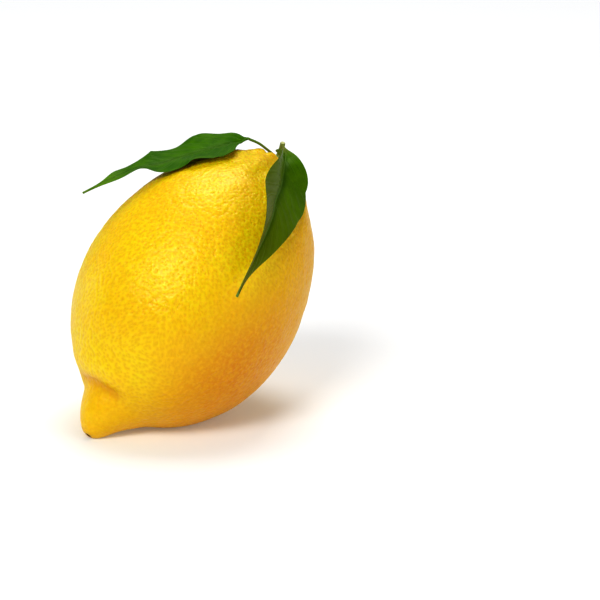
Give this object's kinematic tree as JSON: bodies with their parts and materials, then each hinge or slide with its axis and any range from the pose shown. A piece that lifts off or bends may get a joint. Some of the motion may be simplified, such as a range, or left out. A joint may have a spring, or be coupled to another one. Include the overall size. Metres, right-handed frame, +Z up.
{
  "type": "lemon with leaves",
  "caption": "A whole ripe lemon with a blunt nipple, its calyx, a short cut twig and draped leaves, resting tilted on a small flat spot",
  "frame": {"origin": "the middle of the flat spot of the belly that the lemon rests on, found as the lowest point of the tilted fruit, on the surface that it stands on", "axes": "+Z up from the resting surface, -Y the front, from which the nipple is at the lower left and both leaves show, +X to the right of that view"},
  "size_m": [0.0634, 0.0643, 0.0705],
  "materials": {
    "peel": "ripe yellow citrus peel, semi-gloss, waxy, pitted with oil glands, orange-yellow on its shaded side",
    "calyx": "matt green-brown dried calyx",
    "twig": "matt green bark with a pale cut end",
    "leaf": "glossy dark green citrus leaf, paler underneath and at its midrib"
  },
  "bodies": {
    "root": {"fruit": "peel", "calyx": "calyx", "twig": "twig", "leaf_left": "leaf", "leaf_right": "leaf"}
  },
  "joints": []
}
